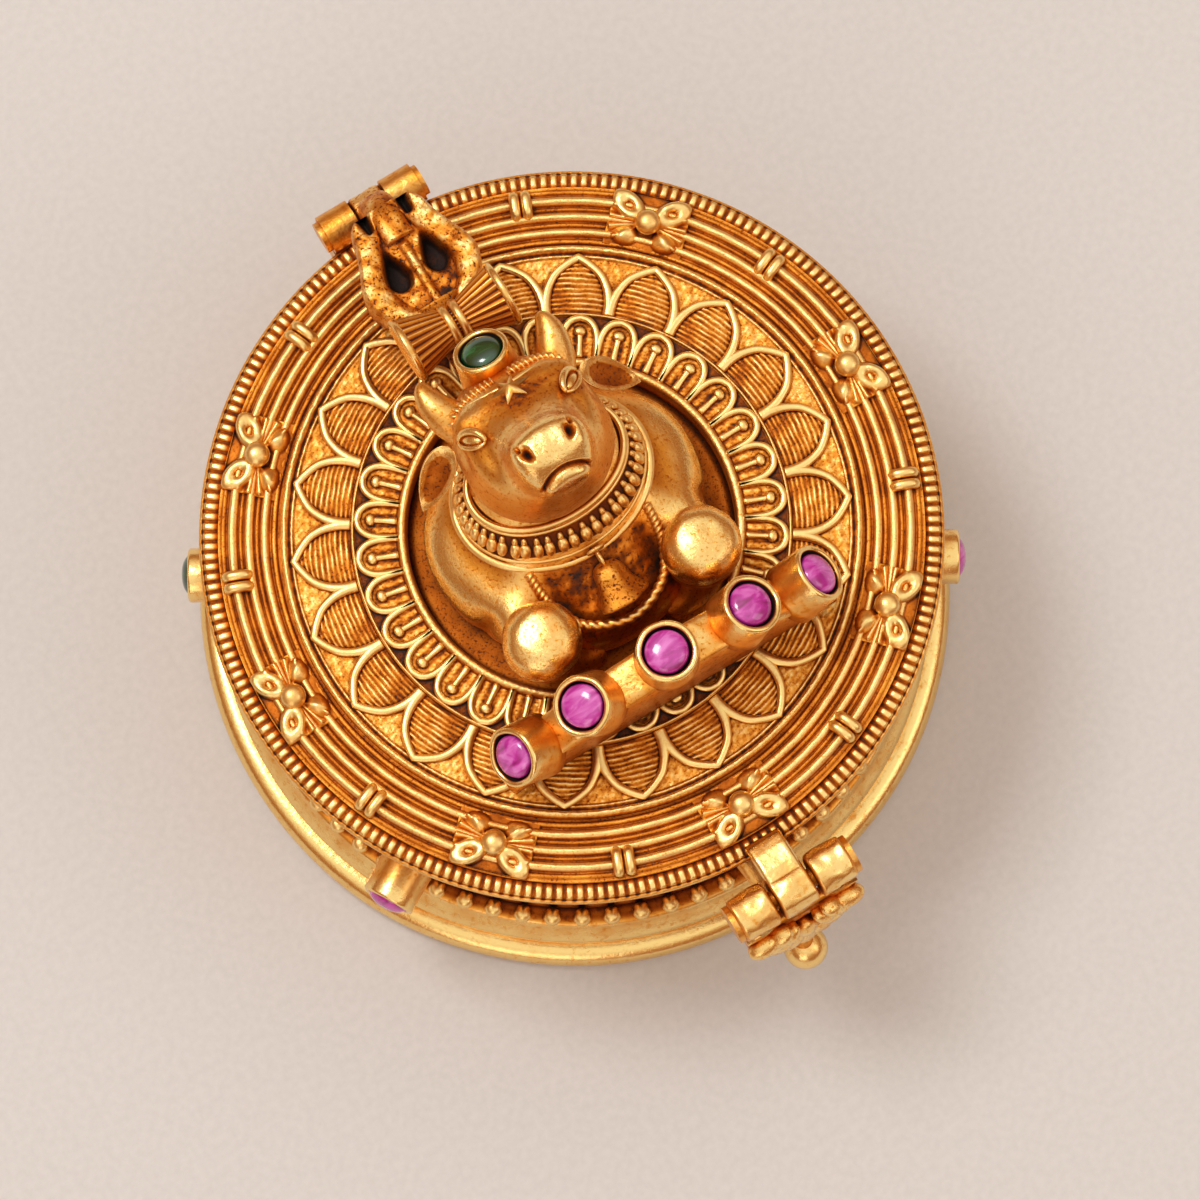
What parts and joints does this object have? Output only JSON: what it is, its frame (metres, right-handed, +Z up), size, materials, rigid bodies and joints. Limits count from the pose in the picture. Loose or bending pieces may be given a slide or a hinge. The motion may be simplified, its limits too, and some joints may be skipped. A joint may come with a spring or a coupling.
{
  "type": "sindoor box",
  "caption": "Round gilt box for sindoor powder with a hinged ornamental lid carrying a seated bull, a stone-set crest and a drop hasp.",
  "frame": {"origin": "middle of the base ring's underside, on the table", "axes": "+Z up, -Y to the hasp at the front, +Y to the hinge, +X to the right seen from the front"},
  "size_m": [0.0552, 0.062, 0.0459],
  "materials": {
    "gilt_metal": "antique gold plate, bright on the high parts and dark in the recesses",
    "ruby": "polished magenta cabochon, closed-back set",
    "green_stone": "polished dark green cabochon, closed-back set"
  },
  "bodies": {
    "box": {"base_ring": "gilt_metal", "foot_ring": "gilt_metal", "body_cup": "gilt_metal", "wall_sleeve": "gilt_metal", "foot_beads": "gilt_metal", "side_collets": "gilt_metal", "side_rubies": "ruby", "side_greens": "green_stone", "hinge_leaf": "gilt_metal", "hinge_pin": "gilt_metal", "catch_lug": "gilt_metal"},
    "lid": {"arch_pins": "gilt_metal", "arch_ring": "gilt_metal", "band_bars": "gilt_metal", "band_wires": "gilt_metal", "border_rings": "gilt_metal", "bull_body": "gilt_metal", "bull_ears": "gilt_metal", "bull_forelegs": "gilt_metal", "bull_head": "gilt_metal", "bull_horns": "gilt_metal", "chest_bell": "gilt_metal", "clasp_knuckle": "gilt_metal", "collar_wire": "gilt_metal", "crest_collets": "gilt_metal", "crest_plate": "gilt_metal", "crest_rubies": "ruby", "drum_body": "gilt_metal", "drum_skins": "gilt_metal", "head_band": "gilt_metal", "lid_flange": "gilt_metal", "lid_knuckle": "gilt_metal", "lid_plate": "gilt_metal", "milled_rim": "gilt_metal", "neck_collar": "gilt_metal", "petal_ring": "gilt_metal", "poll_collet": "gilt_metal", "poll_stone": "green_stone", "rope_necklace": "gilt_metal", "rosette_balls": "gilt_metal", "rosettes": "gilt_metal", "trident": "gilt_metal", "well_ring": "gilt_metal"},
    "hasp": {"hasp_flap": "gilt_metal", "hasp_leaf": "gilt_metal", "hasp_ball": "gilt_metal", "hasp_pin": "gilt_metal"}
  },
  "joints": [
    {"name": "lid_hinge", "type": "hinge", "parent": "box", "child": "lid", "pos_m": [0, 0.0271, 0.025], "axis": [-1, 0, 0], "range_deg": [0, 105]},
    {"name": "hasp_hinge", "type": "hinge", "parent": "lid", "child": "hasp", "pos_m": [0, -0.0292, 0.0245], "axis": [-1, 0, 0], "range_deg": [0, 130]}
  ]
}
